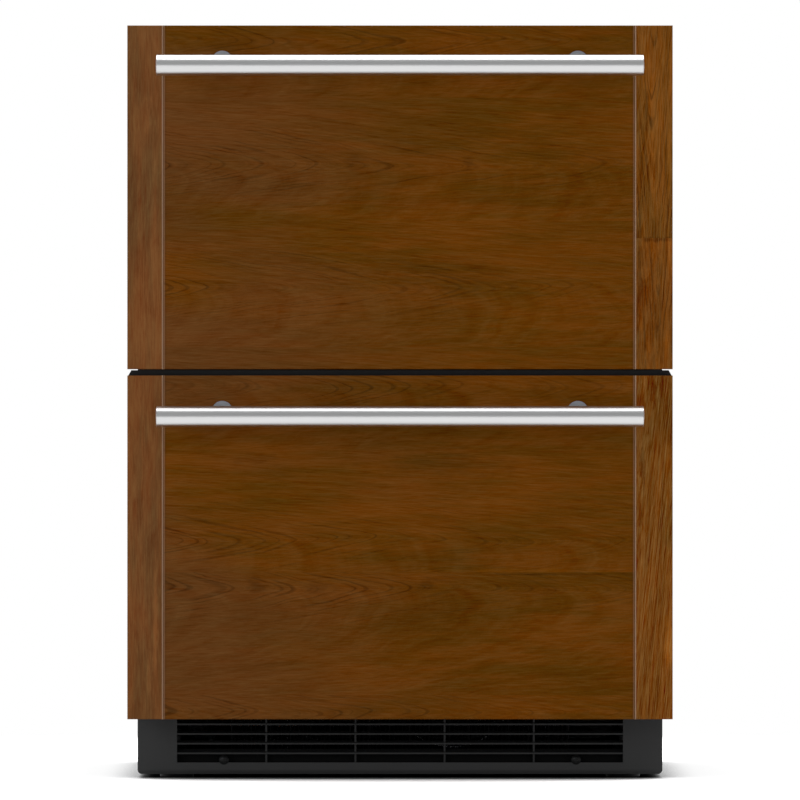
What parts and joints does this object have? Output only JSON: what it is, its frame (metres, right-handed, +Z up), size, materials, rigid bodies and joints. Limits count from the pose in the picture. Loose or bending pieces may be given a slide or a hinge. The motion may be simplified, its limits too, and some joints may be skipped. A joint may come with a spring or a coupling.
{
  "type": "undercounter drawer refrigerator",
  "caption": "Undercounter refrigerator with stacked full-width drawers behind wooden fronts, bar handles and a louvred kick plate.",
  "frame": {"origin": "on the floor, under the middle of the whole body, handles included", "axes": "+Z up, +X to the right for someone facing the fronts, -Y out of the fronts, so +Y points to the wall"},
  "size_m": [0.606, 0.665, 0.838],
  "materials": {
    "field_wood": "satin",
    "left_wood": "satin",
    "right_wood": "satin",
    "handle_steel": "satin",
    "slide_steel": "satin",
    "black_metal": "satin",
    "kick_black": "matte",
    "screw_black": "satin",
    "grey_metal": "matte",
    "pump_black": "satin",
    "coil_black": "matte",
    "coil_aluminium": "satin",
    "black_plastic": "matte",
    "fan_black": "matte",
    "grey_plastic": "matte",
    "white_plastic": "satin",
    "button_grey": "satin",
    "display_gloss": "gloss",
    "lens_white": "satin",
    "gasket_rubber": "matte",
    "foam": "matte"
  },
  "bodies": {
    "cabinet": {"cabinet_shell": "black_metal", "back_panel": "grey_metal", "insulation": "foam", "upper_liner": "white_plastic", "lower_liner": "white_plastic", "mullion_rail": "black_metal", "base_pan": "grey_metal", "kick_plate": "kick_black", "louvre_grille": "black_plastic", "kick_plate_screws": "screw_black", "counter_brackets": "slide_steel", "machine_cover": "grey_metal", "cord_bush": "black_plastic", "compressor": "pump_black", "condenser_coil": "coil_black", "condenser_fan_housing": "grey_plastic", "condensate_pan": "black_plastic", "evaporator_cover": "white_plastic", "evaporator_coil": "coil_aluminium", "evaporator_fan_motor": "grey_plastic", "control_housing": "black_plastic", "display_window": "display_gloss", "light_lenses": "lens_white", "upper_outer_rails": "slide_steel", "lower_outer_rails": "slide_steel"},
    "upper_drawer": {"upper_wood_field": "field_wood", "upper_left_stile": "left_wood", "upper_right_stile": "right_wood", "upper_door_pan": "black_metal", "upper_door_foam": "foam", "upper_door_liner": "white_plastic", "upper_door_cap": "black_plastic", "upper_gasket": "gasket_rubber", "upper_handle_bar": "handle_steel", "upper_handle_posts": "handle_steel", "upper_bin": "white_plastic", "upper_inner_rails": "slide_steel"},
    "lower_drawer": {"lower_wood_field": "field_wood", "lower_left_stile": "left_wood", "lower_right_stile": "right_wood", "lower_door_pan": "black_metal", "lower_door_foam": "foam", "lower_door_liner": "white_plastic", "lower_door_cap": "black_plastic", "lower_gasket": "gasket_rubber", "lower_handle_bar": "handle_steel", "lower_handle_posts": "handle_steel", "lower_bin": "white_plastic", "lower_inner_rails": "slide_steel"},
    "upper_slide_middles": {"upper_middle_rails": "slide_steel"},
    "lower_slide_middles": {"lower_middle_rails": "slide_steel"},
    "condenser_fan_rotor": {"condenser_fan": "fan_black"},
    "evaporator_fan_rotor": {"evaporator_fan": "fan_black"},
    "power_key": {"power_button": "button_grey"},
    "cooler_key": {"cooler_button": "button_grey"},
    "warmer_key": {"warmer_button": "button_grey"},
    "front_left_foot": {"front_left_leg": "slide_steel"},
    "front_right_foot": {"front_right_leg": "slide_steel"},
    "rear_left_foot": {"rear_left_leg": "slide_steel"},
    "rear_right_foot": {"rear_right_leg": "slide_steel"}
  },
  "joints": [
    {"name": "upper_drawer_slide", "type": "slide", "parent": "cabinet", "child": "upper_drawer", "axis": [0, -1, 0], "range_m": [0, 0.4]},
    {"name": "lower_drawer_slide", "type": "slide", "parent": "cabinet", "child": "lower_drawer", "axis": [0, -1, 0], "range_m": [0, 0.4]},
    {"name": "upper_middle_slide", "type": "slide", "parent": "cabinet", "child": "upper_slide_middles", "axis": [0, -1, 0], "range_m": [0, 0.2]},
    {"name": "lower_middle_slide", "type": "slide", "parent": "cabinet", "child": "lower_slide_middles", "axis": [0, -1, 0], "range_m": [0, 0.2]},
    {"name": "condenser_fan_spin", "type": "hinge", "parent": "cabinet", "child": "condenser_fan_rotor", "pos_m": [0.06, 0.1565, 0.0955], "axis": [0, 1, 0], "continuous": true},
    {"name": "evaporator_fan_spin", "type": "hinge", "parent": "cabinet", "child": "evaporator_fan_rotor", "pos_m": [0, 0.261, 0.735], "axis": [0, 1, 0], "continuous": true},
    {"name": "power_press", "type": "slide", "parent": "cabinet", "child": "power_key", "axis": [0, 1, 0], "range_m": [0, 0.0012], "stiffness_N_per_m": 400},
    {"name": "cooler_press", "type": "slide", "parent": "cabinet", "child": "cooler_key", "axis": [0, 1, 0], "range_m": [0, 0.0012], "stiffness_N_per_m": 400},
    {"name": "warmer_press", "type": "slide", "parent": "cabinet", "child": "warmer_key", "axis": [0, 1, 0], "range_m": [0, 0.0012], "stiffness_N_per_m": 400},
    {"name": "front_left_foot_turn", "type": "hinge", "parent": "cabinet", "child": "front_left_foot", "pos_m": [-0.25, -0.1655, 0], "axis": [0, 0, 1], "continuous": true},
    {"name": "front_right_foot_turn", "type": "hinge", "parent": "cabinet", "child": "front_right_foot", "pos_m": [0.25, -0.1655, 0], "axis": [0, 0, 1], "continuous": true},
    {"name": "rear_left_foot_turn", "type": "hinge", "parent": "cabinet", "child": "rear_left_foot", "pos_m": [-0.25, 0.2845, 0], "axis": [0, 0, 1], "continuous": true},
    {"name": "rear_right_foot_turn", "type": "hinge", "parent": "cabinet", "child": "rear_right_foot", "pos_m": [0.25, 0.2845, 0], "axis": [0, 0, 1], "continuous": true}
  ],
  "couplings": [
    {"joint": "upper_middle_slide", "follows": "upper_drawer_slide", "ratio": 0.5},
    {"joint": "lower_middle_slide", "follows": "lower_drawer_slide", "ratio": 0.5}
  ]
}
